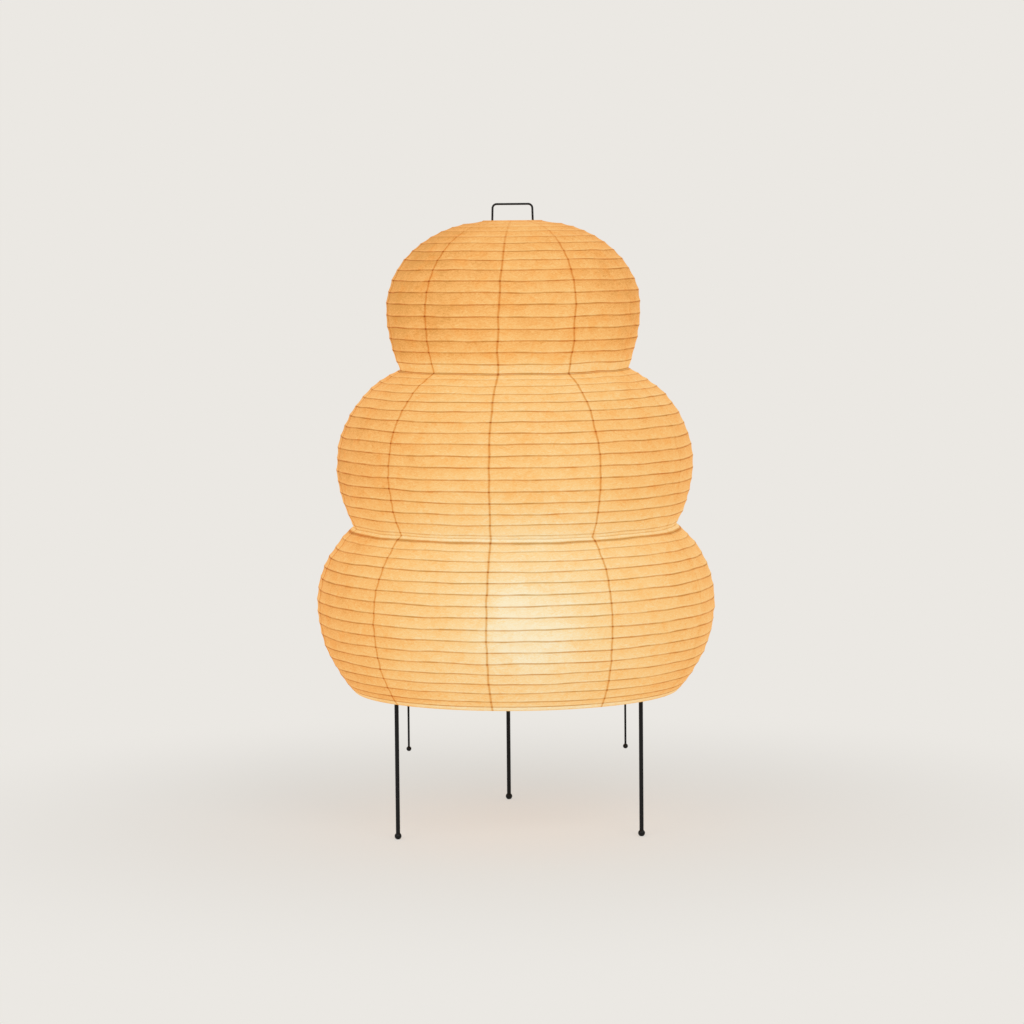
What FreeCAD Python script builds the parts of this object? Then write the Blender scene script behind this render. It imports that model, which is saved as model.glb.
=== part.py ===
import FreeCAD, Part
import math
import os
import Sketcher
from FreeCAD import Placement, Rotation, Vector

# Paper floor lamp: a three-lobed washi shade on bamboo hoops, stretched between a tripod stand and a
# sliding wire stretcher, whose top is the carrying loop.
# Millimetres, +Z up, -Y is the front. The origin is on the floor, under the axis of the shade.
# Azimuths are in degrees from the front, positive towards +X.

os.makedirs("parts", exist_ok=True)
doc = FreeCAD.newDocument("PaperFloorLamp")
sheet = doc.addObject("Spreadsheet::Sheet", "Dim")

SIZES = {
    "Shade outline: each lobe swells from one narrow ring to the next": {
        "shade_top_radius": 43.6,
        "shade_top_height": 874.3,
        "top_lobe_radius": 183,
        "top_lobe_height": 750,
        "upper_waist_radius": 164.5,
        "upper_waist_height": 662,
        "middle_lobe_radius": 257,
        "middle_lobe_height": 527,
        "lower_waist_radius": 232.5,
        "lower_waist_height": 437,
        "bottom_lobe_radius": 287.5,
        "bottom_lobe_height": 328,
        "rim_radius": 235,
        "rim_height": 199.5,
    },
    "Shade outline: degrees of an ellipse that each half lobe rounds": {
        "top_lobe_upper_sweep": 86,
        "top_lobe_lower_sweep": 15,
        "middle_lobe_upper_sweep": 66,
        "middle_lobe_lower_sweep": 19,
        "bottom_lobe_upper_sweep": 48,
        "bottom_lobe_lower_sweep": 45,
    },
    "Bamboo hoops: the first gap and the spacing are measured along the paper, from the top of a lobe": {
        "top_lobe_first_gap": 27,
        "top_lobe_spacing": 17,
        "middle_lobe_first_gap": 16.2,
        "middle_lobe_spacing": 16.4,
        "bottom_lobe_first_gap": 23.1,
        "bottom_lobe_spacing": 16.3,
        "hoop_width": 1.8,
        "hoop_depth": 1.2,
    },
    "Counts": {
        "top_lobe_hoop_count": 16,
        "middle_lobe_hoop_count": 16,
        "bottom_lobe_hoop_count": 15,
        "strip_count": 10,
        "flats_per_strip": 2,
    },
    "Washi strips": {
        "seam_azimuth": -8.2,
        "paper_thickness": 0.5,
        "glue_gap": 0.05,
    },
    "Wire rings that end the shade": {
        "ring_wire": 3,
        "ring_gap": 0.3,
    },
    "Legs, feet and the pegs that hold the rim down": {
        "leg_circle_radius": 209,
        "leg_rod": 6,
        "leg_bend_radius": 12,
        "arm_height": 216,
        "arm_inner_radius": 16,
        "left_leg_azimuth": -56,
        "right_leg_azimuth": 56,
        "rear_leg_azimuth": 182.3,
        "foot_ball": 10,
        "foot_flat": 4,
        "peg_wire": 2.5,
        "peg_gap": 0.1,
    },
    "Hub plate and crossbar": {
        "hub_radius": 35,
        "hub_thickness": 3,
        "bar_width": 20,
        "bar_thickness": 3,
        "bar_overhang": 9,
        "bar_corner_radius": 6,
        "sleeve_diameter": 8,
        "sleeve_height": 18,
        "slide_clearance": 0.1,
    },
    "Stretcher": {
        "stretcher_rod": 3,
        "stretcher_half_spread": 157.5,
        "loop_top": 900,
        "loop_top_half_width": 28.4,
        "loop_foot_half_width": 29.3,
        "loop_bend_radius": 6,
        "shoulder_top": 864,
        "shoulder_foot": 736,
        "tip_ball": 7.3,
        "tip_height": 108,
        "carrier_overhang": 2.5,
    },
    "Lampholder, its threaded nipple and the bulb": {
        "nipple_diameter": 10,
        "nipple_bore": 7,
        "nipple_below_hub": 8,
        "nipple_above_bar": 12,
        "thread_gap": 0.05,
        "nut_across_flats": 14,
        "nut_thickness": 4,
        "holder_foot_radius": 13,
        "holder_neck_radius": 19,
        "holder_neck_height": 7,
        "holder_radius": 20,
        "holder_shoulder_height": 20,
        "holder_height": 52,
        "socket_radius": 14,
        "socket_depth": 26,
        "bulb_cap_radius": 13.25,
        "bulb_cap_height": 27,
        "bulb_radius": 30,
        "bulb_length": 105,
        "bulb_neck_radius": 13,
        "bulb_sweep": 135,
        "glass_thickness": 1,
    },
    "Flats that stand for round forms, to keep the many wires, hoops and balls light": {
        "rod_sides": 8,
        "ring_sides": 6,
        "ball_steps": 5,
        "holder_sides": 24,
        "bulb_sides": 20,
        "bulb_steps": 5,
        "outline_steps": 8,
    },
}

FLAT_TOLERANCE = 1e-6
subparts = []


def fill_sheet():
    row = 1
    for heading, values in SIZES.items():
        sheet.set(f"A{row}", heading)
        row += 1
        for alias, number in values.items():
            sheet.set(f"A{row}", alias)
            sheet.set(f"B{row}", str(number))
            sheet.setAlias(f"B{row}", alias)
            row += 1
    doc.recompute()


def size(expression):
    """What a name on the sheet, or a sum of such names, comes to."""
    result = sheet.evalExpression(expression)
    return float(getattr(result, "Value", result))


def count(name):
    return round(size(name))


# Heights and radii that follow from the sheet, from the floor up
FOOT_CENTRE = "(sqrt(Dim.foot_ball ^ 2 - Dim.foot_flat ^ 2) / 2)"
TIP_CENTRE = "(Dim.tip_height + Dim.tip_ball / 2)"
RIM_RING_HEIGHT = "(Dim.rim_height + Dim.ring_wire / 2)"
RIM_RING_RADIUS = "(Dim.rim_radius - Dim.paper_thickness - Dim.ring_gap - Dim.ring_wire / 2)"
ARM_TOP = "(Dim.arm_height + Dim.leg_rod / 2)"
HUB_TOP = f"({ARM_TOP} + Dim.hub_thickness)"
BAR_TOP = f"({HUB_TOP} + Dim.bar_thickness)"
NIPPLE_FOOT = f"({ARM_TOP} - Dim.nipple_below_hub)"
NIPPLE_LENGTH = f"({BAR_TOP} + Dim.nipple_above_bar - {NIPPLE_FOOT})"
NUT_CORNER_RADIUS = "(Dim.nut_across_flats / 2 / cos(30))"
GUIDE_RADIUS = "(Dim.stretcher_rod / 2 + Dim.slide_clearance)"
THREAD_RADIUS = "(Dim.nipple_diameter / 2 + Dim.thread_gap)"
SOCKET_FLOOR = f"({BAR_TOP} + Dim.holder_height - Dim.socket_depth)"
GLASS_FOOT = f"({SOCKET_FLOOR} + Dim.bulb_cap_height)"
GLASS_CENTRE = f"({SOCKET_FLOOR} + Dim.bulb_length - Dim.bulb_radius)"
TOP_RING_HEIGHT = "(Dim.shade_top_height - Dim.ring_wire / 2)"
TOP_RING_RADIUS = "(Dim.shade_top_radius - Dim.ring_gap - Dim.ring_wire / 2)"
CARRIER_HEIGHT = f"({TOP_RING_HEIGHT} - Dim.ring_wire / 2 - Dim.stretcher_rod / 2)"


def keep(obj, label):
    """Names an object as one of the lamp's pieces."""
    obj.Label = label
    subparts.append(obj)
    return obj


def bind(obj, **expressions):
    """Binds properties to expressions on the sheet; x, y and z are the object's place."""
    for name, expression in expressions.items():
        obj.setExpression(f"Placement.Base.{name}" if name in ("x", "y", "z") else name, expression)
    return obj


def primitive(kind, **expressions):
    return bind(doc.addObject(f"Part::{kind}", kind), **expressions)


def cut(base, *tools):
    for tool in tools:
        result = doc.addObject("Part::Cut", "Cut")
        result.Base, result.Tool = base, tool
        base = result
    return base


def compound(members):
    result = doc.addObject("Part::Compound", "Set")
    result.Links = members
    return result


def shaped(shape):
    feature = doc.addObject("Part::Feature", "Shape")
    feature.Shape = shape
    return feature


def sketch_on(body, plane):
    sketch = body.newObject("Sketcher::SketchObject", "Sketch")
    support = next(item for item in body.Origin.OriginFeatures if item.Role == plane)
    sketch.AttachmentSupport = [(support, "")]
    sketch.MapMode = "FlatFace"
    return sketch


def place_point(sketch, geometry, end, across, up):
    """Holds one end of a sketched line at expressions measured from the sketch's origin."""
    for kind, expression in (("DistanceX", across), ("DistanceY", up)):
        held = sketch.addConstraint(Sketcher.Constraint(kind, -1, 1, geometry, end, size(expression)))
        sketch.setExpression(f"Constraints[{held}]", expression)


def draw_outline(sketch, corners):
    """Closed outline of straight lines through corners given as pairs of expressions."""
    points = [Vector(size(across), size(up), 0) for across, up in corners]
    lines = [sketch.addGeometry(Part.LineSegment(start, end))
             for start, end in zip(points, points[1:] + points[:1])]
    for line, following in zip(lines, lines[1:] + lines[:1]):
        sketch.addConstraint(Sketcher.Constraint("Coincident", line, 2, following, 1))
    for line, (across, up) in zip(lines, corners):
        place_point(sketch, line, 1, across, up)


def draw_circle(sketch, diameter, across="0"):
    circle = sketch.addGeometry(Part.Circle(Vector(size(across), 0, 0), Vector(0, 0, 1), size(diameter) / 2))
    place_point(sketch, circle, 3, across, "0")
    held = sketch.addConstraint(Sketcher.Constraint("Diameter", circle, size(diameter)))
    sketch.setExpression(f"Constraints[{held}]", diameter)


def padded(body, sketch, thickness):
    pad = body.newObject("PartDesign::Pad", "Pad")
    pad.Profile = sketch
    return bind(pad, Length=thickness)


def direction(azimuth):
    return Vector(math.sin(math.radians(azimuth)), -math.cos(math.radians(azimuth)), 0)


def many_sided(profile, azimuths, closed=False):
    """Solid that a closed profile sweeps round the axis, with one flat from each azimuth to the next.

    The profile's points hold a radius as x and a height as z.
    """
    stations = [[direction(azimuth) * point.x + Vector(0, 0, point.z) for point in profile]
                for azimuth in azimuths]
    following = stations[1:] + stations[:1] if closed else stations[1:]
    loops = [] if closed else [stations[0], stations[-1]]
    for left, right in zip(stations, following):
        for number in range(len(profile)):
            loops.append([left[number - 1], left[number], right[number], right[number - 1]])
    faces = []
    for loop in loops:
        corners = [point for point, before in zip(loop, loop[-1:] + loop[:-1])
                   if not point.isEqual(before, FLAT_TOLERANCE)]
        if len(corners) > 2:
            faces.append(Part.Face(Part.makePolygon(corners + corners[:1])))
    solid = Part.Solid(Part.Shell(faces))
    if solid.Volume < 0:
        solid.reverse()
    return solid


def all_round(sides):
    return [360 * side / sides for side in range(sides)]


def rod_section(diameter):
    """Corners of a round rod's many-sided section, round the Z axis."""
    return [direction(azimuth) * diameter / 2 for azimuth in all_round(count("rod_sides"))]


def straight_rod(start, end, diameter):
    turn = Rotation(Vector(0, 0, 1), end - start)
    corners = [start + turn.multVec(corner) for corner in rod_section(diameter)]
    return Part.Face(Part.makePolygon(corners + corners[:1])).extrude(end - start)


def inward(profile):
    """For each point of a profile, the step that sets its neighbouring lines one unit inwards."""
    normals = [Vector(line.z, 0, -line.x).normalize()
               for line in (end - start for start, end in zip(profile, profile[1:]))]
    mitres = [(before + after) / (1 + before.dot(after)) for before, after in zip(normals, normals[1:])]
    return normals[:1] + mitres + normals[-1:]


def bent_wire(corners, bend_radius, diameter):
    """Round wire through the corners, each inner one rounded by an arc."""
    edges, start = [], corners[0]
    for before, corner, after in zip(corners, corners[1:], corners[2:]):
        back, ahead = (before - corner).normalize(), (after - corner).normalize()
        half_angle = back.getAngle(ahead) / 2
        enter = corner + back * (bend_radius / math.tan(half_angle))
        leave = corner + ahead * (bend_radius / math.tan(half_angle))
        to_arc = bend_radius / math.sin(half_angle) - bend_radius
        middle = corner + (back + ahead).normalize() * to_arc
        edges += [Part.LineSegment(start, enter).toShape(), Part.Arc(enter, middle, leave).toShape()]
        start = leave
    edges.append(Part.LineSegment(start, corners[-1]).toShape())
    turn = Rotation(Vector(0, 0, 1), corners[1] - corners[0])
    section = [corners[0] + turn.multVec(corner) for corner in rod_section(diameter)]
    return Part.Wire(edges).makePipeShell([Part.makePolygon(section + section[:1])], True, False)


def ball_on_rod(ball, rod, flat=0):
    """Ball round the origin with a blind bore for its rod above, and maybe a small flat below."""
    start = math.asin(flat / ball)
    end = math.pi - math.asin(rod / ball)
    steps = count("ball_steps")
    turns = [start + (end - start) * step / steps for step in range(steps + 1)]
    profile = [Vector(math.sin(turn), 0, -math.cos(turn)) * ball / 2 for turn in turns]
    foot = Vector(0, 0, profile[0].z)
    return many_sided([foot] + profile + [Vector(rod / 2, 0, 0), Vector(0, 0, 0)],
                      all_round(2 * count("rod_sides")), closed=True)


def half_lobe(widest, end, sweep):
    """Points from a lobe's widest ring, where the paper is upright, to the narrow ring that ends it."""
    turn = math.radians(sweep)
    steps = count("outline_steps")
    points = []
    for step in range(steps + 1):
        angle = turn * step / steps
        inwards = (1 - math.cos(angle)) / (1 - math.cos(turn))
        along = math.sin(angle) / math.sin(turn)
        points.append(widest + Vector((end.x - widest.x) * inwards, 0, (end.z - widest.z) * along))
    return points


def ring_point(name):
    return Vector(size(f"{name}_radius"), 0, size(f"{name}_height"))


def lobe_hoops(lobe, above, below):
    """Where the hoops of one lobe lie on the outside of the paper, from the top down."""
    widest = ring_point(lobe)
    upper = half_lobe(widest, above, size(f"{lobe}_upper_sweep"))
    lower = half_lobe(widest, below, size(f"{lobe}_lower_sweep"))
    outline = Part.BSplineCurve()
    outline.interpolate(upper[::-1] + lower[1:])
    gaps = [size(f"{lobe}_first_gap") + number * size(f"{lobe}_spacing")
            for number in range(count(f"{lobe}_hoop_count"))]
    return [outline.value(outline.parameterAtDistance(gap, outline.FirstParameter)) for gap in gaps]


def shade_azimuths():
    return [size("seam_azimuth") + azimuth
            for azimuth in all_round(count("strip_count") * count("flats_per_strip"))]


def make_shade():
    """Washi strips, side by side round the axis, over hoops that give the paper its creases."""
    rings = [ring_point(name) for name in ("shade_top", "upper_waist", "lower_waist", "rim")]
    profile, hoop_groups, waists = rings[:1], {}, []
    for lobe, above, below in zip(("top_lobe", "middle_lobe", "bottom_lobe"), rings, rings[1:]):
        hoops = lobe_hoops(lobe, above, below)
        hoop_groups[lobe] = range(len(profile), len(profile) + len(hoops))
        profile += hoops + [below]
        waists.append(len(profile) - 1)

    steps = inward(profile)
    inside = [point + step * size("paper_thickness") for point, step in zip(profile, steps)]
    azimuths = shade_azimuths()
    flats = count("flats_per_strip")
    for strip in range(count("strip_count")):
        edges = [azimuths[(strip * flats + flat) % len(azimuths)] for flat in range(flats + 1)]
        keep(shaped(many_sided(profile + inside[::-1], edges)), f"washi_strip_{strip + 1:02d}")

    def hoop(level, pointed):
        """Splint behind the paper: its edge lies in the crease, or its back where a waist is tied in."""
        inwards = Vector(steps[level]).normalize()
        along = Vector(-inwards.z, 0, inwards.x) * size("hoop_width") / 2
        near = inside[level] + inwards * size("glue_gap")
        far = near + inwards * size("hoop_depth")
        section = [near, far + along, far - along] if pointed else [far, near - along, near + along]
        return many_sided(section, azimuths, closed=True)

    for lobe, levels in hoop_groups.items():
        keep(shaped(Part.makeCompound([hoop(level, True) for level in levels])), f"{lobe}_hoops")
    keep(shaped(Part.makeCompound([hoop(level, False) for level in waists[:-1]])), "waist_hoops")


def make_wire_ring(label, radius, height):
    centre = Vector(size(radius), 0, size(height))
    turns = [math.radians(turn) for turn in all_round(count("ring_sides"))]
    section = [centre + Vector(math.sin(turn), 0, math.cos(turn)) * size("ring_wire") / 2 for turn in turns]
    keep(shaped(many_sided(section, shade_azimuths(), closed=True)), label)


def make_leg(label, azimuth):
    """Rod that stands upright from the foot, bends inwards and runs to the hub."""
    body = doc.addObject("PartDesign::Body", "Leg")
    path = sketch_on(body, "XZ_Plane")
    radius, bend, top, foot = (size(name) for name in (
        "Dim.leg_circle_radius", "Dim.leg_bend_radius", "Dim.arm_height", FOOT_CENTRE))
    bend_circle = Part.Circle(Vector(radius - bend, top - bend, 0), Vector(0, 0, 1), bend)
    upright = path.addGeometry(Part.LineSegment(Vector(radius, foot, 0), Vector(radius, top - bend, 0)))
    elbow = path.addGeometry(Part.ArcOfCircle(bend_circle, 0, math.pi / 2))
    arm = path.addGeometry(Part.LineSegment(
        Vector(radius - bend, top, 0), Vector(size("Dim.arm_inner_radius"), top, 0)))
    path.addConstraint([Sketcher.Constraint("Vertical", upright),
                        Sketcher.Constraint("Horizontal", arm),
                        Sketcher.Constraint("Tangent", upright, 2, elbow, 1),
                        Sketcher.Constraint("Tangent", elbow, 2, arm, 1)])
    held = path.addConstraint(Sketcher.Constraint("Radius", elbow, bend))
    path.setExpression(f"Constraints[{held}]", "Dim.leg_bend_radius")
    place_point(path, upright, 1, "Dim.leg_circle_radius", FOOT_CENTRE)
    place_point(path, arm, 2, "Dim.arm_inner_radius", "Dim.arm_height")

    section = sketch_on(body, "XY_Plane")
    section.setExpression("AttachmentOffset.Base.z", FOOT_CENTRE)
    draw_outline(section, [(f"Dim.leg_circle_radius + Dim.leg_rod / 2 * cos({turn})",
                            f"Dim.leg_rod / 2 * sin({turn})") for turn in all_round(count("rod_sides"))])
    pipe = body.newObject("PartDesign::AdditivePipe", "Rod")
    pipe.Profile = section
    pipe.Spine = (path, ["Edge1", "Edge2", "Edge3"])
    body.Placement = Placement(Vector(0, 0, 0), Rotation(Vector(0, 0, 1), 0))
    body.setExpression("Placement.Rotation.Angle", f"{azimuth} - 90")
    keep(body, label)


def make_foot(azimuth):
    """Ball with a small flat to stand on, pressed over the end of a leg."""
    foot = shaped(ball_on_rod(size("Dim.foot_ball"), size("Dim.leg_rod"), flat=size("Dim.foot_flat")))
    foot.Placement = Placement(Vector(0, 0, 0), Rotation(Vector(0, 0, 1), size(azimuth)))
    return bind(foot, x=f"Dim.leg_circle_radius * sin({azimuth})",
                y=f"-Dim.leg_circle_radius * cos({azimuth})", z=FOOT_CENTRE)


def make_stand():
    azimuths = {"leg_front_left": "Dim.left_leg_azimuth",
                "leg_front_right": "Dim.right_leg_azimuth",
                "leg_rear": "Dim.rear_leg_azimuth"}
    for label, azimuth in azimuths.items():
        make_leg(label, azimuth)
    keep(compound([make_foot(azimuth) for azimuth in azimuths.values()]), "ball_feet")

    # Three pegs on the legs pass over the rim ring, which the stretched paper pulls up against them
    start = size("Dim.leg_circle_radius + Dim.leg_rod / 2")
    end = size(RIM_RING_RADIUS)
    peg_height = size(f"{RIM_RING_HEIGHT} + Dim.ring_wire / 2 + Dim.peg_gap + Dim.peg_wire / 2")
    pegs = []
    for azimuth in azimuths.values():
        ends = [direction(size(azimuth)) * radius + Vector(0, 0, peg_height) for radius in (start, end)]
        pegs.append(straight_rod(*ends, size("Dim.peg_wire")))
    keep(shaped(Part.makeCompound(pegs)), "rim_pegs")

    plate = primitive("Prism", Circumradius="Dim.hub_radius", Height="Dim.hub_thickness", z=ARM_TOP)
    plate_hole = primitive("Cylinder", Radius=THREAD_RADIUS, Height="Dim.hub_thickness", z=ARM_TOP)
    keep(cut(plate, plate_hole), "hub_plate")


def make_crossbar():
    """Flat bar with rounded corners that carries a guide sleeve near each end."""
    body = doc.addObject("PartDesign::Body", "Bar")
    outline = sketch_on(body, "XY_Plane")
    half_length = "(Dim.stretcher_half_spread + Dim.bar_overhang)"
    draw_outline(outline, [(f"-{half_length}", "-Dim.bar_width / 2"), (half_length, "-Dim.bar_width / 2"),
                           (half_length, "Dim.bar_width / 2"), (f"-{half_length}", "Dim.bar_width / 2")])
    draw_circle(outline, f"2 * {THREAD_RADIUS}")
    draw_circle(outline, f"2 * {GUIDE_RADIUS}", across="Dim.stretcher_half_spread")
    draw_circle(outline, f"2 * {GUIDE_RADIUS}", across="-Dim.stretcher_half_spread")
    pad = padded(body, outline, "Dim.bar_thickness")
    doc.recompute()
    corners = [f"Edge{number}" for number, edge in enumerate(pad.Shape.Edges, 1)
               if isinstance(edge.Curve, Part.Line) and abs(edge.tangentAt(edge.FirstParameter).z) > 0]
    fillet = body.newObject("PartDesign::Fillet", "Corners")
    fillet.Base = (pad, corners)
    bind(fillet, Radius="Dim.bar_corner_radius")
    keep(bind(body, z=HUB_TOP), "crossbar")

    sleeves = []
    for side in ("", "-"):
        wall = primitive("Cylinder", Radius="Dim.sleeve_diameter / 2", Height="Dim.sleeve_height")
        bore = primitive("Cylinder", Radius=GUIDE_RADIUS, Height="Dim.sleeve_height")
        sleeves.append(bind(cut(wall, bore), x=f"{side}Dim.stretcher_half_spread", z=BAR_TOP))
    keep(compound(sleeves), "guide_sleeves")


def make_lampholder():
    tube = primitive("Cylinder", Radius="Dim.nipple_diameter / 2", Height=NIPPLE_LENGTH, z=NIPPLE_FOOT)
    bore = primitive("Cylinder", Radius="Dim.nipple_bore / 2", Height=NIPPLE_LENGTH, z=NIPPLE_FOOT)
    keep(cut(tube, bore), "threaded_nipple")

    nut_foot = f"{ARM_TOP} - Dim.nut_thickness"
    nut = primitive("Prism", Circumradius=NUT_CORNER_RADIUS, Height="Dim.nut_thickness", z=nut_foot)
    nut_hole = primitive("Cylinder", Radius=THREAD_RADIUS, Height="Dim.nut_thickness", z=nut_foot)
    keep(cut(nut, nut_hole), "lock_nut")

    outline = [("0", "Dim.nipple_above_bar"),
               (THREAD_RADIUS, "Dim.nipple_above_bar"),
               (THREAD_RADIUS, "0"),
               ("Dim.holder_foot_radius", "0"),
               ("Dim.holder_neck_radius", "Dim.holder_neck_height"),
               ("Dim.holder_radius", "Dim.holder_shoulder_height"),
               ("Dim.holder_radius", "Dim.holder_height"),
               ("Dim.socket_radius", "Dim.holder_height"),
               ("Dim.socket_radius", "Dim.holder_height - Dim.socket_depth"),
               ("0", "Dim.holder_height - Dim.socket_depth")]
    profile = [Vector(size(across), 0, size(up)) for across, up in outline]
    holder = shaped(many_sided(profile, all_round(count("holder_sides")), closed=True))
    keep(bind(holder, z=BAR_TOP), "lampholder")


def make_bulb():
    cap = primitive("Prism", Circumradius="Dim.bulb_cap_radius", Height="Dim.bulb_cap_height", z=SOCKET_FLOOR)
    cap.Polygon = count("holder_sides")
    keep(cap, "bulb_cap")
    centre = Vector(0, 0, size(GLASS_CENTRE))
    steps = count("bulb_steps")
    turns = [math.radians(size("Dim.bulb_sweep") * step / steps) for step in range(steps + 1)]
    outside = [centre + Vector(math.sin(turn), 0, math.cos(turn)) * size("Dim.bulb_radius") for turn in turns]
    outside.append(Vector(size("Dim.bulb_neck_radius"), 0, size(GLASS_FOOT)))
    thickness = size("Dim.glass_thickness")
    inside = [point + step * thickness for point, step in zip(outside, inward(outside))]
    inside[0].x = 0
    inside[-1].z = size(GLASS_FOOT)
    glass = many_sided(outside + inside[::-1], all_round(count("bulb_sides")), closed=True)
    keep(shaped(glass), "bulb_glass")


def make_stretcher():
    """One bent wire: loop above the shade, shoulders inside it, and two legs that slide in the sleeves."""
    right = [Vector(size("Dim.stretcher_half_spread"), 0, size(TIP_CENTRE)),
             Vector(size("Dim.stretcher_half_spread"), 0, size("Dim.shoulder_foot")),
             Vector(size("Dim.loop_foot_half_width"), 0, size("Dim.shoulder_top")),
             Vector(size("Dim.loop_top_half_width"), 0, size("Dim.loop_top - Dim.stretcher_rod / 2"))]
    left = [Vector(-point.x, 0, point.z) for point in right[::-1]]
    keep(shaped(bent_wire(right + left, size("Dim.loop_bend_radius"), size("Dim.stretcher_rod"))),
         "stretcher_wire")

    carrier = primitive("Prism", Circumradius="Dim.stretcher_rod / 2",
                        Height=f"2 * ({TOP_RING_RADIUS} + Dim.carrier_overhang)")
    carrier.Polygon = count("rod_sides")
    carrier.Placement = Placement(Vector(0, 0, 0), Rotation(Vector(0, 1, 0), 90))
    bind(carrier, x=f"-({TOP_RING_RADIUS} + Dim.carrier_overhang)", y="Dim.stretcher_rod", z=CARRIER_HEIGHT)
    keep(carrier, "ring_carrier")

    tips = [bind(shaped(ball_on_rod(size("Dim.tip_ball"), size("Dim.stretcher_rod"))),
                 x=f"{side}Dim.stretcher_half_spread", z=TIP_CENTRE) for side in ("", "-")]
    keep(compound(tips), "ball_tips")


def check_and_export():
    doc.recompute()
    failed = [obj.Label for obj in doc.Objects if {"Invalid", "Error"} & set(obj.State)]
    failed += [obj.Label for obj in subparts if obj.Shape.isNull() or not obj.Shape.isValid()]
    if failed:
        raise RuntimeError(f"failed pieces: {failed}")
    for obj in subparts:
        obj.Shape.exportStep(f"parts/{obj.Label}.step")
        print(f"{obj.Label}: {len(obj.Shape.Solids)} solids, {obj.Shape.Volume:.1f} cubic mm")


fill_sheet()
make_stand()
make_crossbar()
make_lampholder()
make_bulb()
make_wire_ring("rim_ring", RIM_RING_RADIUS, RIM_RING_HEIGHT)
make_shade()
make_wire_ring("top_ring", TOP_RING_RADIUS, TOP_RING_HEIGHT)
make_stretcher()
check_and_export()
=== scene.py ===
import random
from functools import partial
from math import asin, atan2, cos, degrees, pi, radians, sin, sqrt

import bpy
from mathutils import Matrix, Vector


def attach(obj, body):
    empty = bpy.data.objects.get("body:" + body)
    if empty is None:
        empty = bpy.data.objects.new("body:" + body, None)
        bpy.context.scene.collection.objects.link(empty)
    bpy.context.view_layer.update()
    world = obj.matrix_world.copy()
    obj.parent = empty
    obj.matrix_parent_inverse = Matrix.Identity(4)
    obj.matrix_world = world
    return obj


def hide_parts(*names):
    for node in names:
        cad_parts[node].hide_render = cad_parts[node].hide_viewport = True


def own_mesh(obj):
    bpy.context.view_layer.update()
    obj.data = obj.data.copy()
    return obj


# Paper floor lamp, lit from inside. Metres, +Z up, -Y is the front, the origin is on the floor.
# Azimuths are in degrees, from the front towards +X.

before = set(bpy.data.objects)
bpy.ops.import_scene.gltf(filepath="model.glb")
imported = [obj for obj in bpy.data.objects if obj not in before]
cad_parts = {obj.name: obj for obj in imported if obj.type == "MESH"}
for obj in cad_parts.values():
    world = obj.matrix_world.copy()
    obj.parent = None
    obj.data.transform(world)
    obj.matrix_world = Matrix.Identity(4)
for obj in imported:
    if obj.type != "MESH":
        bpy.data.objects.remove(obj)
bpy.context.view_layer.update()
print("frame loaded:", len(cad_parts), "nodes")


# Small helpers

def toLinear(hexColour):
    channels = [int(hexColour[start:start + 2], 16) / 255 for start in (1, 3, 5)]
    return [c / 12.92 if c <= 0.04045 else ((c + 0.055) / 1.055) ** 2.4 for c in channels] + [1]


def addNode(tree, kind, inputs=None, **settings):
    # an input is a value, a socket, or a node whose first live output is meant
    node = tree.nodes.new(kind)
    for name, value in settings.items():
        setattr(node, name, value)
    for key, value in (inputs or {}).items():
        if isinstance(key, int):
            socket = node.inputs[key]
        else:
            socket = next(s for s in node.inputs if s.name == key and s.enabled)
        if isinstance(value, bpy.types.Node):
            value = next(s for s in value.outputs if s.enabled)
        if isinstance(value, bpy.types.NodeSocket):
            tree.links.new(value, socket)
        else:
            socket.default_value = value
    return node


def newMaterial(name):
    # comes with addNode for its own tree
    material = bpy.data.materials.new(name)
    material.use_nodes = True
    material.node_tree.nodes.clear()
    return material, partial(addNode, material.node_tree)


def endMaterial(add, inputs):
    surface = add("ShaderNodeBsdfPrincipled", inputs)
    add("ShaderNodeOutputMaterial", {"Surface": surface})


def newNodeTree(name, **inputs):
    # the inputs are listed by kind; comes with addNode for the tree, and with their sockets by name
    tree = bpy.data.node_groups.new(name, "GeometryNodeTree")
    tree.is_modifier = True
    for side in ("INPUT", "OUTPUT"):
        tree.interface.new_socket("Geometry", in_out=side, socket_type="NodeSocketGeometry")
    for kind, socketNames in inputs.items():
        for socketName in socketNames:
            tree.interface.new_socket(socketName, in_out="INPUT", socket_type="NodeSocket" + kind)
    given = {socket.name: socket for socket in tree.nodes.new("NodeGroupInput").outputs}
    return tree, partial(addNode, tree), given


def endNodeTree(add, geometry, material):
    realized = add("GeometryNodeRealizeInstances", {"Geometry": geometry})
    painted = add("GeometryNodeSetMaterial", {"Geometry": realized, "Material": material})
    add("NodeGroupOutput", {0: painted})


def useTree(piece, tree, values):
    # only the values that the tree has an input for are used
    modifier = piece.modifiers.new(tree.name, "NODES")
    modifier.node_group = tree
    for item in tree.interface.items_tree:
        if item.item_type == "SOCKET" and item.in_out == "INPUT" and item.name in values:
            modifier[item.identifier] = values[item.name]


def newObject(name, data):
    piece = bpy.data.objects.new(name, data)
    bpy.context.scene.collection.objects.link(piece)
    return piece


def meshFrom(name, points, edges=(), faces=()):
    mesh = bpy.data.meshes.new(name)
    mesh.from_pydata(points, edges, faces)
    return mesh


def smoothMesh(mesh, sharpAngle=40):
    mesh.shade_smooth()
    mesh.set_sharp_from_angle(angle=radians(sharpAngle))


def applyModifiers(piece):
    graph = bpy.context.evaluated_depsgraph_get()
    mesh = bpy.data.meshes.new_from_object(
        piece.evaluated_get(graph), preserve_all_data_layers=True, depsgraph=graph)
    piece.modifiers.clear()
    piece.data = mesh
    mesh.name = piece.name


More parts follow.
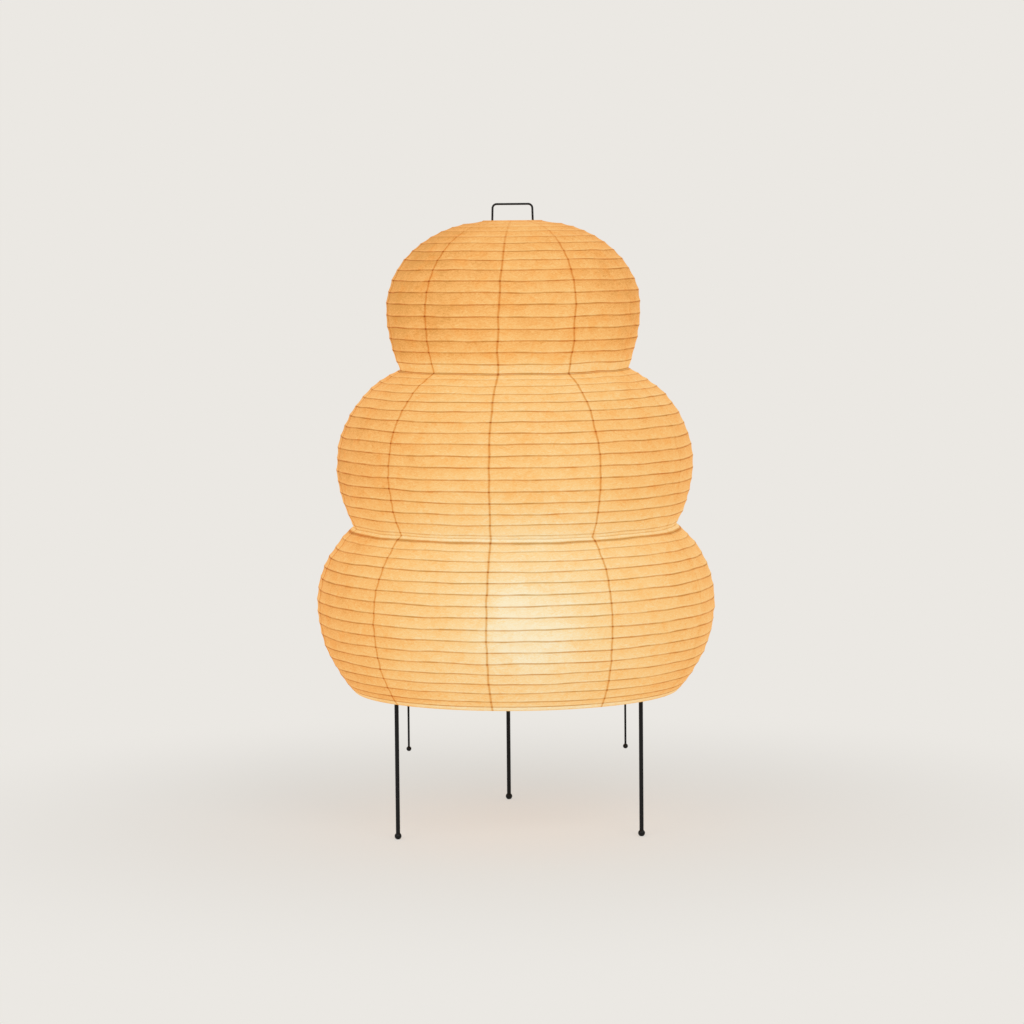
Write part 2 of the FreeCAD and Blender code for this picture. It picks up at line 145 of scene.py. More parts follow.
def hand(piece, body, slotName, *nodes):
    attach(piece, body)
    if nodes:
        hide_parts(*nodes)


def direction(azimuth):
    return Vector((sin(radians(azimuth)), -cos(radians(azimuth)), 0))


# Camera, floor and lights

cameraSettings = {
    "lens": 119.5,
    "place": (-0.1123, -4.8948, 0.8723),
    "yaw": -1.261,   # degrees
    "pitch": 4.871,  # degrees below level
    "roll": -0.52,
}
cameraData = bpy.data.cameras.new("camera")
cameraData.lens = cameraSettings["lens"]
camera = newObject("camera", cameraData)
aim = Matrix.Rotation(radians(cameraSettings["yaw"]), 4, "Z")
tilt = Matrix.Rotation(radians(90 - cameraSettings["pitch"]), 4, "X")
turn = Matrix.Rotation(radians(cameraSettings["roll"]), 4, "Z")
camera.matrix_world = Matrix.Translation(cameraSettings["place"]) @ aim @ tilt @ turn
scene = bpy.context.scene
scene.camera = camera
scene.view_settings.view_transform = "Standard"

studio = {
    "backdrop": "#EBE8E3",
    "floor": "#E4E1DB",
    "floorRadius": 9,
    "floorSides": 96,
    "worldLight": 0.52,
    "lift": 0.62,       # share of the backdrop in the floor under the lamp, as the camera sees it
    "fadeStart": 0.25,  # metres from the lamp, where the floor starts to melt into the backdrop
    "fadeEnd": 1.15,
    "softBoxes": {"keyLight": (60, (1.5, -3.5, 2.8)), "fillLight": (42, (-2.0, -3.1, 2.0))},
    "softBoxWidth": 2.4,
    "aimHeight": 0.45,
}


def seenPlainly(add):
    # 1 for a ray that shows the background as it is: from the camera, off gloss or through glass
    path = add("ShaderNodeLightPath").outputs
    seen = path["Is Camera Ray"]
    for kind in ("Is Glossy Ray", "Is Transmission Ray"):
        seen = add("ShaderNodeMath", {0: seen, 1: path[kind]}, operation="MAXIMUM")
    return seen


world = bpy.data.worlds.new("studio")
world.use_nodes = True
scene.world = world
world.node_tree.nodes.clear()
add = partial(addNode, world.node_tree)
light = add("ShaderNodeBackground", {"Color": (1, 1, 1, 1), "Strength": studio["worldLight"]})
backdrop = add("ShaderNodeBackground", {"Color": toLinear(studio["backdrop"]), "Strength": 1.0})
mixed = add("ShaderNodeMixShader", {0: seenPlainly(add), 1: light, 2: backdrop})
add("ShaderNodeOutputWorld", {"Surface": mixed})

floorMaterial, add = newMaterial("paleStudioFloor")
place = add("ShaderNodeTexCoord")
away = add("ShaderNodeVectorMath", {0: place.outputs["Object"]}, operation="LENGTH")
fade = add("ShaderNodeMapRange", {
    "Value": away.outputs["Value"], "From Min": studio["fadeStart"], "From Max": studio["fadeEnd"],
    "To Min": studio["lift"]}, interpolation_type="SMOOTHSTEP")
share = add("ShaderNodeMath", {0: fade, 1: seenPlainly(add)}, operation="MULTIPLY")
matt = add("ShaderNodeBsdfPrincipled", {
    "Base Color": toLinear(studio["floor"]), "Roughness": 0.9, "Specular IOR Level": 0.1})
glow = add("ShaderNodeEmission", {"Color": toLinear(studio["backdrop"]), "Strength": 1.0})
mixed = add("ShaderNodeMixShader", {0: share, 1: matt, 2: glow})
add("ShaderNodeOutputMaterial", {"Surface": mixed})

floorSides = range(studio["floorSides"])
floorRim = [direction(360 * side / len(floorSides)) * studio["floorRadius"] for side in floorSides]
floor = newObject("floor", meshFrom("floor", floorRim, faces=[floorSides]))
floor.data.materials.append(floorMaterial)

for name, (power, place) in studio["softBoxes"].items():
    data = bpy.data.lights.new(name, "AREA")
    data.energy = power
    data.size = studio["softBoxWidth"]
    lamp = newObject(name, data)
    view = Vector((0, 0, studio["aimHeight"])) - Vector(place)
    lamp.matrix_world = Matrix.Translation(place) @ view.to_track_quat("-Z", "Y").to_matrix().to_4x4()
    lamp.visible_camera = False
print("camera, floor and lights placed")


# Materials, one for each slot of the record

paper = {
    "reflected": "#665D3D",   # unbleached kozo: what the sheet throws back of the studio light
    "lightLevel": 1.05,       # how strongly that light falls on the front of the shade
    "seen": [(0.00, "#E0A052"), (0.16, "#F5B061"), (0.33, "#FAC073"), (0.48, "#FCCB83"),
             (0.70, "#FCD99D"), (0.88, "#FBE5B7"), (1.00, "#FBEBC6")],
    "levels": [(0.00, 0.35), (0.197, 0.35), (0.26, 0.41), (0.33, 0.42), (0.43, 0.45), (0.45, 0.46),
               (0.50, 0.38), (0.60, 0.42), (0.64, 0.49), (0.67, 0.47), (0.70, 0.32), (0.80, 0.31),
               (0.86, 0.33), (0.90, 0.28)],  # brightness by height
    "bulbSpots": [(0.010, -0.288, 0.324), (-0.010, 0.288, 0.324)],  # where the bulb shines through
    "hotSpot": [(0.0, 1.0), (0.03, 0.93), (0.06, 0.71), (0.09, 0.51), (0.12, 0.40), (0.17, 0.28),
                (0.25, 0.12), (0.40, 0.0), (1.0, 0.0)],  # by metres from those spots
    "sideShadeCentre": 0.18,       # painted shade: the shade is darker towards its left and right sides, least a little right of its middle
    "gains": {                # what changes the brightness: its middle value, and by how much
        "hot": (0.0, 0.57),
        # side: painted shade towards the left and right sides of the shade
        "side": (0.0, -0.17),
        "bandShare": (0.5, 0.17),
        "fibres": (0.5, 1.25),
        "clouds": (0.5, 0.32),
    },
    "noises": {               # size in metres, detail, roughness and distortion
        "fibres": (0.006, 6, 0.72, 1.6),
        "clouds": (0.045, 3, 0.6, 0),
        "patches": (1 / 32, 2, 0.5, 0),
        "skin": (1 / 24, 1, 0.5, 0),
        "pulp": (0.022, 4, 0.6, 0),
    },
    "fibreFlatness": 3.0,     # the fibres lie mostly round the shade
    "shares": {               # what is read, from and to which value, and the share at either end
        # rib: the painted shadow line of a splint behind the paper
        "rib": ("ribGap", 0.0003, 0.0016, 1.0, 0.0),
        "patchy": ("patches", 0.3, 0.62, 0.55, 1.0),
        "foxy": ("skin", 0.38, 0.62, 0.0, 1.0),
        "blush": ("pulp", 0.5, 0.68, 0.0, 1.0),
        # painted shadow of the seams, where a second sheet lies behind: the lap's own edge, the shade
        # beside it, and where the sheet below ends
        "lap": ("acrossRight", 0.0, 0.0005, 1.0, 0.0),
        "besideLap": ("acrossRight", 0.0005, 0.0022, 0.22, 0.0),
        "underLap": ("acrossLeft", 0.0024, 0.004, 0.15, 0.0),
        "seamFade": ("height", 0.835, 0.870, 1.0, 0.3),  # far above the bulb the seams show ever less
    },
    "ribShadowTints": ("#CDB48C", "#D6B086"),  # painted shadow of the splints behind the paper, olive brown to foxy along each one
    "seamShadowTint": "#EACFAA",
    "crossingShadowTint": "#DDBE98",    # a darker painted shadow where splint, lap and a drop of paste meet
    "blushTint": "#FFF5E6",   # warmer places where the pulp lies thicker
}

sheetKeys = ("ribGap", "ribDark", "bandShare", "acrossLeft", "acrossRight", "lapDark")  # from the strips

# Lit washi: long-fibred paper that glows from behind. Where a splint or a second sheet lies behind it, less
# light comes through, painted as shadow lines; it is brightest round the bulb and where a band faces down
# to it, both painted light in the glow.
litWashi, add = newMaterial("litWashi")
place = add("ShaderNodeTexCoord").outputs["Object"]
xyz = add("ShaderNodeSeparateXYZ", {0: place}).outputs
spreads = [(xyz["Z"], paper["levels"])]
for spot in paper["bulbSpots"]:
    away = add("ShaderNodeVectorMath", {0: place, 1: spot}, operation="DISTANCE")
    spreads.append((away.outputs["Value"], paper["hotSpot"]))
curves = []
for value, points in spreads:
    node = add("ShaderNodeFloatCurve", {"Factor": 1.0, "Value": value})
    curve = node.mapping.curves[0]
    for _ in range(len(points) - 2):
        curve.points.new(0.5, 0.5)
    for point, location in zip(curve.points, points):
        point.location = location
    node.mapping.update()
    curves.append(node)
hot = add("ShaderNodeMath", {0: curves[1], 1: curves[2]}, operation="ADD")

# Painted shade: darker towards the left and right sides of the shade
flat = add("ShaderNodeCombineXYZ", {0: xyz["X"], 1: xyz["Y"]})
outwards = add("ShaderNodeVectorMath", {0: flat}, operation="NORMALIZE")
outwards = add("ShaderNodeSeparateXYZ", {0: outwards})
side = add("ShaderNodeMath", {0: outwards, 1: paper["sideShadeCentre"]}, operation="SUBTRACT")
side = add("ShaderNodeMath", {0: side, 1: side}, operation="MULTIPLY")

read = {"height": xyz["Z"], "hot": hot, "side": side}
for name in sheetKeys:
    read[name] = add("ShaderNodeAttribute", attribute_name=name).outputs["Fac"]
flattened = add("ShaderNodeMapping", {"Vector": place, "Scale": (1, 1, paper["fibreFlatness"])})
for name, (size, detail, roughness, distortion) in paper["noises"].items():
    read[name] = add("ShaderNodeTexNoise", {
        "Vector": flattened if name == "fibres" else place, "Scale": 1 / size, "Detail": detail,
        "Roughness": roughness, "Distortion": distortion})
shares = {}
for name, (source, start, end, first, last) in paper["shares"].items():
    shares[name] = add("ShaderNodeMapRange", {
        "Value": read[source], "From Min": start, "From Max": end, "To Min": first, "To Max": last})
shares["rib"].interpolation_type = "SMOOTHSTEP"

brightness = curves[0]
for name, (middle, gain) in paper["gains"].items():
    offset = add("ShaderNodeMath", {0: read[name], 1: middle}, operation="SUBTRACT")
    brightness = add("ShaderNodeMath", {0: offset, 1: gain, 2: brightness}, operation="MULTIPLY_ADD")
reflected = toLinear(paper["reflected"])
glowRamp = add("ShaderNodeValToRGB", {"Fac": brightness})
for _ in range(len(paper["seen"]) - 2):
    glowRamp.color_ramp.elements.new(0.5)
for element, (position, colour) in zip(glowRamp.color_ramp.elements, paper["seen"]):
    own = [max(c - r * paper["lightLevel"], 0) for c, r in zip(toLinear(colour), reflected)]
    element.position = position
    element.color = own[:3] + [1]

# Painted shadow lines of the splints behind the paper
rib = shares["rib"]
for other in (shares["patchy"], read["ribDark"]):
    rib = add("ShaderNodeMath", {0: rib, 1: other}, operation="MULTIPLY")
# Painted shadow of the laps
seam = shares["lap"]
for other, operation in ((shares["besideLap"], "MAXIMUM"), (read["lapDark"], "MULTIPLY"),
                         (shares["underLap"], "MAXIMUM"), (shares["seamFade"], "MULTIPLY")):
    seam = add("ShaderNodeMath", {0: seam, 1: other}, operation=operation)
crossingShadow = add("ShaderNodeMath", {0: rib, 1: seam}, operation="MULTIPLY")
olive, foxy = [toLinear(tint) for tint in paper["ribShadowTints"]]
ribShadowTint = add("ShaderNodeMix", {0: shares["foxy"], 6: olive, 7: foxy}, data_type="RGBA")

tint = white = (1, 1, 1, 1)  # what the painted shadows of splints and laps, and the pulp, leave of each colour
for share, colour in ((rib, ribShadowTint), (seam, toLinear(paper["seamShadowTint"])),
                      (crossingShadow, toLinear(paper["crossingShadowTint"])), (shares["blush"], toLinear(paper["blushTint"]))):
    left = add("ShaderNodeMix", {0: share, 6: white, 7: colour}, data_type="RGBA")
    tint = add("ShaderNodeMix", {0: 1.0, 6: tint, 7: left}, data_type="RGBA", blend_type="MULTIPLY")
glow, sheetColour = [
    add("ShaderNodeMix", {0: 1.0, 6: colour, 7: tint}, data_type="RGBA", blend_type="MULTIPLY")
    for colour in (glowRamp, reflected)]
bump = add("ShaderNodeBump", {"Height": read["fibres"], "Strength": 0.35, "Distance": 0.0004})
endMaterial(add, {"Base Color": sheetColour, "Roughness": 0.85, "Specular IOR Level": 0.25,
                  "Normal": bump, "Emission Color": glow, "Emission Strength": 1.0})


def plainFinish(name, colour, roughness, speck, speckSize, bumpHeight, metallic=0.0, specular=0.5):
    # colour and roughness vary a little over a fine noise, and the same noise gives the bump
    material, add = newMaterial(name)
    place = add("ShaderNodeTexCoord").outputs["Object"]
    noise = add("ShaderNodeTexNoise", {
        "Vector": place, "Scale": 1 / speckSize, "Detail": 4.0, "Roughness": 0.65})
    base = toLinear(colour)[:3]
    dark = [c * (1 - speck) for c in base] + [1]
    bright = [min(c * (1 + speck) + 0.01 * speck, 1) for c in base] + [1]
    shade = add("ShaderNodeMix", {0: noise, 6: dark, 7: bright}, data_type="RGBA")
    rough = add("ShaderNodeMapRange", {
        "Value": noise, "From Min": 0.3, "From Max": 0.7, "To Min": roughness * 0.85,
        "To Max": roughness * 1.15})
    bump = add("ShaderNodeBump", {"Height": noise, "Strength": 0.4, "Distance": bumpHeight})
    endMaterial(add, {"Base Color": shade, "Roughness": rough, "Metallic": metallic, "Normal": bump,
                      "Specular IOR Level": specular})
    return material


finishes = {
    "washi_paper": litWashi,
    # Satin black powder coat on steel: nearly black, soft broad highlights, a very fine orange peel
    "black_steel": plainFinish("blackPowderCoat", "#080809", roughness=0.46, speck=0.25, speckSize=0.0015,
                               bumpHeight=0.00008, specular=0.2),
    # Zinc plate on turned steel: grey with a slight blue-yellow cast, dull shine
    "zinc_steel": plainFinish("zincPlatedSteel", "#B4B2A8", roughness=0.34, speck=0.12, speckSize=0.0012,
                              bumpHeight=0.00003, metallic=1.0),
    # Compression-moulded phenolic: dead black, half-matt
    "black_plastic": plainFinish("mouldedPhenolic", "#16161A", roughness=0.5, speck=0.15, speckSize=0.001,
                                 bumpHeight=0.00004),
    # Rolled aluminium screw cap: bright, fine scratches round it
    "bulb_cap_metal": plainFinish("rolledAluminium", "#C6C7CA", roughness=0.28, speck=0.08,
                                  speckSize=0.0008, bumpHeight=0.00002, metallic=1.0),
}

# Split bamboo: straw-coloured, with long grain round the hoop
bamboo = {
    "grainLength": 1 / 90,
    "grainFlatness": 14,  # which makes a grain 0.8 mm high
    "grain": [(0.3, "#8A5F2E"), (0.7, "#D0A263")],
}
finishes["bamboo"], add = newMaterial("splitBamboo")
place = add("ShaderNodeTexCoord").outputs["Object"]
place = add("ShaderNodeMapping", {"Vector": place, "Scale": (1, 1, bamboo["grainFlatness"])})
grain = add("ShaderNodeTexNoise", {
    "Vector": place, "Scale": 1 / bamboo["grainLength"], "Detail": 4.0, "Roughness": 0.6})
bambooRamp = add("ShaderNodeValToRGB", {"Fac": grain})
for element, (position, colour) in zip(bambooRamp.color_ramp.elements, bamboo["grain"]):
    element.position = position
    element.color = toLinear(colour)
bump = add("ShaderNodeBump", {"Height": grain, "Strength": 0.4, "Distance": 0.0001})
endMaterial(add, {"Base Color": bambooRamp, "Roughness": 0.5, "Normal": bump})

# Opal glass: milk-white, glossy, lit from within by the warm lamp
opal = {
    "cloudSize": 0.025,
    "tints": ("#FFE9BE", "#FFF3D8"),
    "glow": 1.6,
}
finishes["bulb_glass"], add = newMaterial("opalGlass")
place = add("ShaderNodeTexCoord").outputs["Object"]
milky = add("ShaderNodeTexNoise", {"Vector": place, "Scale": 1 / opal["cloudSize"], "Detail": 2.0})
warm, pale = [toLinear(tint) for tint in opal["tints"]]
milk = add("ShaderNodeMix", {0: milky, 6: warm, 7: pale}, data_type="RGBA")
endMaterial(add, {"Base Color": milk, "Roughness": 0.12, "Emission Color": milk,
                  "Emission Strength": opal["glow"]})
print("materials made:", len(finishes))


# Shade outline: three lobes that swell between narrow rings, creased at every hoop

# tucks: how far below a waist the paper is tucked in, and how dark the painted shadow line of it is
# faded: the hoops that show less, because light comes round them or the paper is doubled there
# waistDark: how dark the painted shadow line at the waist under the lobe is
lobes = [
    {"node": "top_lobe_hoops", "piece": "topLobeHoops", "above": (0.0436, 0.8743),
     "widest": (0.183, 0.750), "below": (0.1645, 0.662), "sweeps": (86, 15), "firstGap": 0.027,
     "spacing": 0.017, "count": 16, "waistDark": 1.8, "tucks": [],
     "faded": {0: 0.4, 1: 0.5, 2: 0.6, 3: 0.7, 4: 0.8}},
    {"node": "middle_lobe_hoops", "piece": "middleLobeHoops", "above": (0.1645, 0.662),
     "widest": (0.257, 0.527), "below": (0.2325, 0.437), "sweeps": (66, 19), "firstGap": 0.0162,
     "spacing": 0.0164, "count": 16, "waistDark": 0.45, "tucks": [(0.0028, 1.2)],
     "faded": {0: 0.5, 1: 0.7, 2: 0.8, 15: 0.6}},
    {"node": "bottom_lobe_hoops", "piece": "bottomLobeHoops", "above": (0.2325, 0.437),
     "widest": (0.2875, 0.328), "below": (0.235, 0.1995), "sweeps": (48, 45), "firstGap": 0.0231,
     "spacing": 0.0163, "count": 15, "waistDark": 0.0,
     "tucks": [(0.0066, 0.7), (0.0083, 1.8), (0.0100, 0.7)], "faded": {0: 0.6, 1: 0.85}},
]
hoops = {
    "inset": 0.0012,   # from the paper's face to the middle of a splint
    "width": 0.0012,   # across the wall of the shade
    "height": 0.0016,
    "sides": 96,
    "wire": 0.003,
}
hem = {
    "height": 0.0072,  # the paper is folded round the rim wire and glued, with a painted shadow line above the rim
    # dark, rimDark and topDark: how dark the painted shadow lines are there, at the rim and at the top edge
    "dark": 1.0,
    "rimDark": 0.35,
    "topDark": 0.9,
}


def halfLobe(widest, end, sweep, steps=200):
    points = []
    for step in range(steps + 1):
        angle = radians(sweep) * step / steps
        inwards = (1 - cos(angle)) / (1 - cos(radians(sweep)))
        along = sin(angle) / sin(radians(sweep))
        points.append(Vector((widest[0] + (end[0] - widest[0]) * inwards,
                              widest[1] + (end[1] - widest[1]) * along)))
    return points


def pointsAlong(line, gaps):
    found, travelled = [], 0.0
    gaps = list(gaps)
    for start, end in zip(line, line[1:]):
        length = (end - start).length
        while gaps and gaps[0] <= travelled + length:
            found.append(start.lerp(end, (gaps.pop(0) - travelled) / length))
        travelled += length
    return found


creases = [{"place": Vector(lobes[0]["above"]), "dark": hem["topDark"], "kind": "edge"}]
for lobe in lobes:
    upper = halfLobe(lobe["widest"], lobe["above"], lobe["sweeps"][0])
    lower = halfLobe(lobe["widest"], lobe["below"], lobe["sweeps"][1])
    line = upper[::-1] + lower[1:]
    tuckPlaces = pointsAlong(line, [gap for gap, dark in lobe["tucks"]])
    creases += [{"place": place, "dark": dark, "kind": "tuck"}
                for place, (gap, dark) in zip(tuckPlaces, lobe["tucks"])]
    gaps = [lobe["firstGap"] + number * lobe["spacing"] for number in range(lobe["count"])]
    for number, place in enumerate(pointsAlong(line, gaps)):
        creases.append({"place": place, "dark": lobe["faded"].get(number, 1.0), "kind": "hoop",
                        "hoop": (lobe["piece"], lobe["node"])})
    creases.append({"place": Vector(lobe["below"]), "dark": lobe["waistDark"], "kind": "waist",
                    "hoop": ("waistHoops", "waist_hoops")})
lineLength = sum((end - start).length for start, end in zip(line, line[1:]))
hemLine = pointsAlong(line, [lineLength - hem["height"]])[0]
creases[-1] = {"place": hemLine, "dark": hem["dark"], "kind": "hem"}
creases.append({"place": Vector(lobes[-1]["below"]), "dark": hem["rimDark"], "kind": "edge"})
hoopPlaces = {}  # each splint lies under the paper, square to it
for before, crease, after in zip(creases, creases[1:], creases[2:]):
    if "hoop" in crease:
        along = (after["place"] - before["place"]).normalized()
        inside = crease["place"] + Vector((along.y, -along.x)) * hoops["inset"]
        hoopPlaces.setdefault(crease["hoop"], []).append(inside)
creases.reverse()  # from the rim up
print("shade outline:", len(creases), "creases")


# Washi strips

wireRings = {
    "rimRing": {"node": "rim_ring", "body": "stand", "centre": (0.2327, 0.2010)},
    "topRing": {"node": "top_ring", "body": "stretcher", "centre": (0.0418, 0.8728)},
}
strips = {
    "count": 10,
    "firstSeam": -8.65,      # azimuth of the first strip's left edge
    "columns": 26,
    "sag": 0.0008,           # how far the paper draws in between two hoops
    "creaseHalfWidth": 0.0008,
    "lapWidth": 0.0024,
    "lapLift": 0.00035,
    "buttGap": 0.0006,
    "thickness": 0.00025,
    "buckleHeight": 0.0005,
    "buckleSize": 0.03,
    "stiffTo": 0.0005,       # from a hoop, where the paper starts to buckle
    "slackFrom": 0.005,      # and where it buckles fully
    "kink": 0.0003,          # how far a seam strays at one hoop, by hand gluing
    # how many degrees a seam has drifted at the rim, the lower waist, the upper waist and the top
    "drifts": {0: (-1.2, -1.1, -0.7, 2.2), 1: (1.2, -1.5, -1.6, 0.9), 9: (-2.6, -0.3, -0.2, 0.9)},
    "driftRange": 1.5,       # for the seams that the front doesn't show
    "rimStray": 4,           # the higher, the nearer to the rim a seam strays in the bottom lobe
    "faintSeams": {2: 0.2},  # how dark a seam shows, where its lap lets the light through
}
bands = {  # painted shade and light on the paper between two creases: how bright it is, where a half is the middle; darker just below a crease and lighter towards the next one down
    "crease": 0.5,
    "hem": 2.2,            # the doubled paper round the rim catches the most light
    "underWaist": 1.7,
    "overWaist": 1.1,
    "glint": 0.35,         # just above each hoop, where the paper turns to the light
    "glintShare": 0.25,
}
folds = {
    "wireGap": 0.0010,     # from the wire to the paper folded round it
    "steps": 10,
    "endTurn": 205,        # degrees round the wire, from straight outwards
}
squash = {
    "fixedEnd": 0.1995,
    "keep": 0.8518,        # what is left of the height with the stretcher pushed right down
}
seamHeights = [lobe["below"][1] for lobe in lobes[::-1]] + [lobes[0]["above"][1]]
drawn = random.Random(11)
seamShifts = []  # one list of shifts in radians for each seam, with one for each crease
for seam in range(strips["count"]):
    drifts = [drawn.uniform(-1, 1) * strips["driftRange"] for _ in seamHeights]
    drifts = strips["drifts"].get(seam, drifts)
    shifts = []
    for crease in creases:
        height = crease["place"].y
        part = max(number for number in range(3) if number == 0 or height >= seamHeights[number])
        share = (height - seamHeights[part]) / (seamHeights[part + 1] - seamHeights[part])
        if part == 0:
            share = 1 - (1 - share) ** strips["rimStray"]
        drift = drifts[part] + (drifts[part + 1] - drifts[part]) * share
        kink = drawn.uniform(-1, 1) * strips["kink"] / crease["place"].x
        shifts.append(radians(drift) + kink)
    seamShifts.append(shifts)
rowKeys = ("ribGap", "ribDark", "bandShare", "leftShift", "rightShift")


def foldRows(ring, end, side, shifts):
    # the paper's end goes round its wire ring and up or down on the inside, from an angle below the level
    # in degrees to the one at which it ends; side is 1 at the top and -1 at the rim
    start = end - Vector(ring["centre"])
    inner = hoops["wire"] / 2 + folds["wireGap"]
    startTurn = degrees(atan2(start.y * side, start.x))
    rows = []
    for step in range(1, folds["steps"] + 1):
        share = step / folds["steps"]
        turn = radians(startTurn + (folds["endTurn"] - startTurn) * share)
        reach = start.length + (inner - start.length) * min(1, 2 * share)
        place = (ring["centre"][0] + reach * cos(turn), 0,
                 ring["centre"][1] + reach * sin(turn) * side)
        rows.append((place, (1.0, 0.0, bands["crease"], *shifts)))
    return rows


# Painted shade and highlight along a band: darkest just below its upper crease, brightest just above its
# lower one
def bandBrightness(kindBelow, kindAbove, share):
    if kindBelow == "edge":
        return bands["hem"]
    if share == 0:
        return bands["crease"]
    if kindAbove == "waist":
        return bands["underWaist"]
    if kindBelow == "waist":
        return bands["overWaist"]
    return 1 - share + bands["glint"] * max(0, 1 - share / bands["glintShare"])


def outlineMesh(name, leftShifts, rightShifts):
    # one vertex for each row of the strip, with what the row knows about its band, as rowKeys say
    shifts = list(zip(leftShifts, rightShifts))
    rows = foldRows(wireRings["rimRing"], creases[0]["place"], -1, shifts[0])[::-1]
    for low, high, lowShifts, highShifts in zip(creases, creases[1:], shifts, shifts[1:]):
        step = high["place"] - low["place"]
        length = step.length
        inwards = Vector((-step.y, step.x)) / length
        edge = strips["creaseHalfWidth"] / length
        fullSag = strips["sag"] * min(1, length / lobes[0]["spacing"]) ** 2
        for share in (0, edge, 0.25, 0.5, 0.75, 1 - edge):
            place = low["place"] + step * share + inwards * (fullSag * 4 * share * (1 - share))
            rows.append(((place.x, 0, place.y), (
                min(share, 1 - share) * length, low["dark"] if share < 0.5 else high["dark"],
                bandBrightness(low["kind"], high["kind"], share),
                *[start + (end - start) * share for start, end in zip(lowShifts, highShifts)])))
    last = creases[-1]
    rows.append(((last["place"].x, 0, last["place"].y), (0.0, last["dark"], bands["crease"], *shifts[-1])))
    rows += foldRows(wireRings["topRing"], last["place"], 1, shifts[-1])
    mesh = meshFrom(name, [place for place, values in rows],
                    edges=[(number, number + 1) for number in range(len(rows) - 1)])
    for number, key in enumerate(rowKeys):
        attribute = mesh.attributes.new(key, "FLOAT", "POINT")
        attribute.data.foreach_set("value", [values[number] for place, values in rows])
    return mesh


washiTree, add, given = newNodeTree("washiStrip", Int=["columns"], Material=["paper"], Float=[
    "seamAzimuth", "stripAngle", "lapWidth", "lapLift", "lapDark", "buttGap", "buckleHeight", "buckleSize"])
rows = add("GeometryNodeAttributeDomainSize", {"Geometry": given["Geometry"]})  # how many rows
grid = add("GeometryNodeMeshGrid", {
    "Size X": 1.0, "Size Y": 1.0, "Vertices X": given["columns"], "Vertices Y": rows})
index = add("GeometryNodeInputIndex")
row = add("ShaderNodeMath", {0: index, 1: rows}, operation="MODULO")
column = add("ShaderNodeMath", {0: index, 1: rows}, operation="DIVIDE")
column = add("ShaderNodeMath", {0: column}, operation="FLOOR")
known = dict(given, column=column)
for key in rowKeys:
    named = add("GeometryNodeInputNamedAttribute", {"Name": key})
    known[key] = add("GeometryNodeSampleIndex", {
        "Geometry": given["Geometry"], "Value": named, "Index": row})
spot = add("GeometryNodeSampleIndex", {
    "Geometry": given["Geometry"], "Value": add("GeometryNodeInputPosition"), "Index": row},
    data_type="FLOAT_VECTOR")
spot = add("ShaderNodeSeparateXYZ", {0: spot}).outputs
known["radius"] = spot["X"]
for name, operation, *parts in (
        ("lastColumn", "SUBTRACT", "columns", 3),  # the butt; two more columns make the lap
        ("share", "DIVIDE", "column", "lastColumn"),
        ("share", "MINIMUM", "share", 1),
        ("past", "SUBTRACT", "column", "lastColumn"),
        ("onLap", "GREATER_THAN", "past", 0.5),
        ("atEnd", "GREATER_THAN", "past", 1.5),
        ("atButt", "COMPARE", "past", 0, 0.1),
        ("offset", "MULTIPLY", "atEnd", "lapWidth"),
        ("short", "MULTIPLY", "atButt", "buttGap"),
        ("offset", "SUBTRACT", "offset", "short"),
        ("overrun", "DIVIDE", "offset", "radius"),
        ("sweep", "SUBTRACT", "rightShift", "leftShift"),
        ("sweep", "ADD", "sweep", "stripAngle"),
        ("fromLeft", "MULTIPLY", "share", "sweep"),
        ("fromLeft", "ADD", "fromLeft", "overrun"),
        ("acrossLeft", "MULTIPLY", "fromLeft", "radius"),
        ("toRight", "SUBTRACT", "sweep", "fromLeft"),
        ("acrossRight", "MULTIPLY", "toRight", "radius"),
        ("azimuth", "ADD", "seamAzimuth", "leftShift"),
        ("azimuth", "ADD", "azimuth", "fromLeft"),
        ("right", "SINE", "azimuth"),
        ("front", "COSINE", "azimuth"),
        ("back", "MULTIPLY", "front", -1)):
    inputs = {number: known.get(part, part) for number, part in enumerate(parts)}
    known[name] = add("ShaderNodeMath", inputs, operation=operation)
facing = add("ShaderNodeCombineXYZ", {0: known["right"], 1: known["back"]})
around = add("ShaderNodeVectorMath", {0: facing, "Scale": spot["X"]}, operation="SCALE")
upright = add("ShaderNodeCombineXYZ", {2: spot["Z"]})
onOutline = add("ShaderNodeVectorMath", {0: around, 1: upright}, operation="ADD")

noiseScale = add("ShaderNodeMath", {0: 1.0, 1: given["buckleSize"]}, operation="DIVIDE")
buckle = add("ShaderNodeTexNoise", {"Vector": onOutline, "Scale": noiseScale, "Detail": 2.0})
slack = add("ShaderNodeMapRange", {
    "Value": known["ribGap"], "From Min": strips["stiffTo"], "From Max": strips["slackFrom"],
    "To Max": 2.0})
for other, operation in ((0.5, "SUBTRACT"), (slack, "MULTIPLY"), (given["buckleHeight"], "MULTIPLY")):
    buckle = add("ShaderNodeMath", {0: buckle, 1: other}, operation=operation)
proud = add("ShaderNodeMath", {0: known["onLap"], 1: given["lapLift"], 2: buckle}, operation="MULTIPLY_ADD")
push = add("ShaderNodeVectorMath", {0: facing, "Scale": proud}, operation="SCALE")
final = add("ShaderNodeVectorMath", {0: onOutline, 1: push}, operation="ADD")
sheet = add("GeometryNodeSetPosition", {"Geometry": grid.outputs["Mesh"], "Position": final})
for key in sheetKeys:
    sheet = add("GeometryNodeStoreNamedAttribute", {"Geometry": sheet, "Name": key, "Value": known[key]})
sheet = add("GeometryNodeSetShadeSmooth", {"Geometry": sheet})
endNodeTree(add, sheet, given["paper"])

